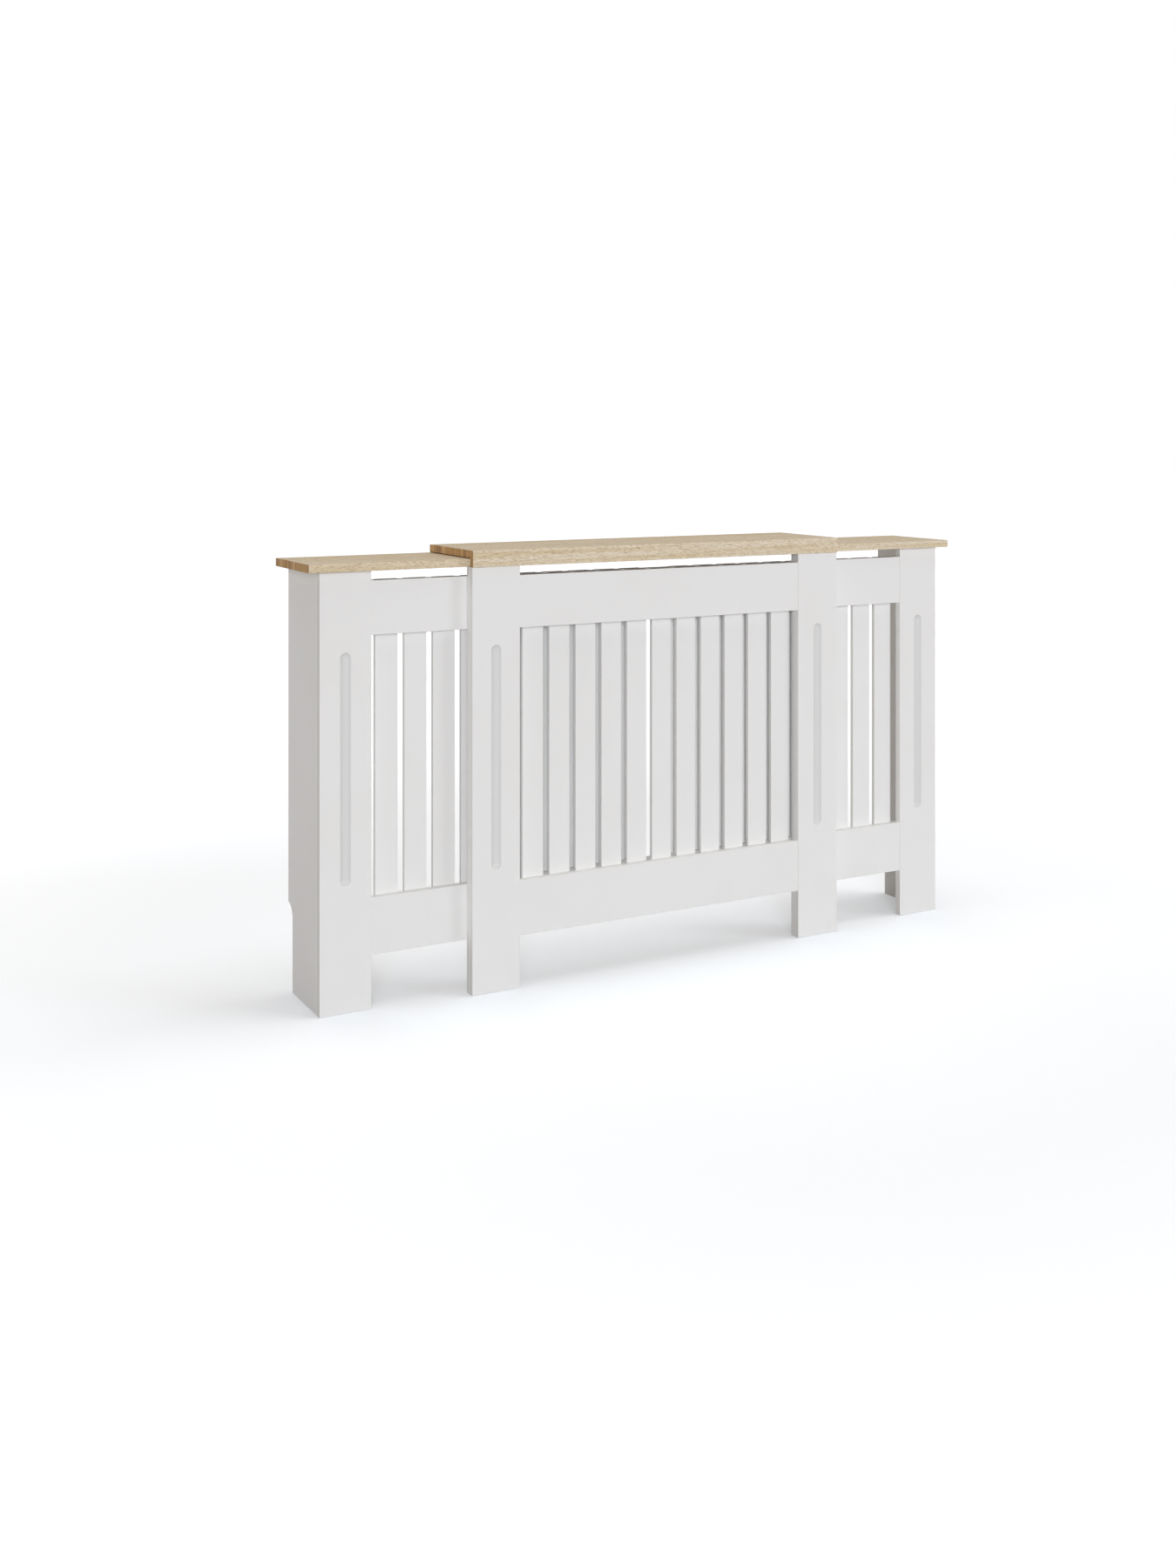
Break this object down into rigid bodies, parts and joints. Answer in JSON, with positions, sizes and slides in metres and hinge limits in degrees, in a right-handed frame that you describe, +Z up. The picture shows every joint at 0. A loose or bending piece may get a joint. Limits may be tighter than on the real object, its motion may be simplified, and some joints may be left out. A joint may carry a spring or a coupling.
{
  "type": "radiator cover",
  "caption": "Adjustable radiator cover cabinet with a slatted front and shelf tops; side sections slide out from behind the fixed middle section to suit the radiator's width.",
  "frame": {"origin": "on the floor, at the centre of the box round the closed cover, wall face to lip and end to end", "axes": "+Z up, +X along the wall to the right as seen from the room, +Y towards the wall, so the slatted front faces -Y"},
  "size_m": [1.448, 0.204, 0.82],
  "materials": {
    "white_painted_mdf": "satin white paint on medium-density fibreboard",
    "oak_laminate": "pale oak-effect foil on medium-density fibreboard, fine grain along the shelf",
    "zinc_steel": "bright zinc-plated sheet steel",
    "beech_dowel": "bare fluted beech"
  },
  "bodies": {
    "middle_section": {"middle_top": "oak_laminate", "middle_top_lip": "oak_laminate", "middle_leg_left": "white_painted_mdf", "middle_leg_right": "white_painted_mdf", "middle_leg_backing_left": "white_painted_mdf", "middle_leg_backing_right": "white_painted_mdf", "lip_dowel_left": "beech_dowel", "lip_dowel_right": "beech_dowel", "guide_clip_top_left": "zinc_steel", "guide_clip_top_right": "zinc_steel", "guide_clip_bottom_left": "zinc_steel", "guide_clip_bottom_right": "zinc_steel", "middle_top_rail": "white_painted_mdf", "middle_bottom_rail": "white_painted_mdf", "middle_slat_01": "white_painted_mdf", "middle_slat_02": "white_painted_mdf", "middle_slat_03": "white_painted_mdf", "middle_slat_04": "white_painted_mdf", "middle_slat_05": "white_painted_mdf", "middle_slat_06": "white_painted_mdf", "middle_slat_07": "white_painted_mdf", "middle_slat_08": "white_painted_mdf", "middle_slat_09": "white_painted_mdf", "middle_slat_10": "white_painted_mdf", "middle_slat_11": "white_painted_mdf"},
    "left_section": {"left_top": "oak_laminate", "left_leg": "white_painted_mdf", "left_side_panel": "white_painted_mdf", "left_top_rail": "white_painted_mdf", "left_bottom_rail": "white_painted_mdf", "left_slat_01": "white_painted_mdf", "left_slat_02": "white_painted_mdf", "left_slat_03": "white_painted_mdf", "left_slat_04": "white_painted_mdf", "left_slat_05": "white_painted_mdf", "left_slat_06": "white_painted_mdf", "left_slat_07": "white_painted_mdf", "left_slat_08": "white_painted_mdf", "left_slat_09": "white_painted_mdf", "left_slat_10": "white_painted_mdf", "left_top_bracket": "zinc_steel", "left_wall_bracket": "zinc_steel"},
    "right_section": {"right_top": "oak_laminate", "right_leg": "white_painted_mdf", "right_side_panel": "white_painted_mdf", "right_top_rail": "white_painted_mdf", "right_bottom_rail": "white_painted_mdf", "right_slat_01": "white_painted_mdf", "right_slat_02": "white_painted_mdf", "right_slat_03": "white_painted_mdf", "right_slat_04": "white_painted_mdf", "right_slat_05": "white_painted_mdf", "right_slat_06": "white_painted_mdf", "right_slat_07": "white_painted_mdf", "right_slat_08": "white_painted_mdf", "right_slat_09": "white_painted_mdf", "right_slat_10": "white_painted_mdf", "right_top_bracket": "zinc_steel", "right_wall_bracket": "zinc_steel"}
  },
  "joints": [
    {"name": "left_slide", "type": "slide", "parent": "middle_section", "child": "left_section", "axis": [-1, 0, 0], "range_m": [0, 0.315]},
    {"name": "right_slide", "type": "slide", "parent": "middle_section", "child": "right_section", "axis": [1, 0, 0], "range_m": [0, 0.315]}
  ]
}
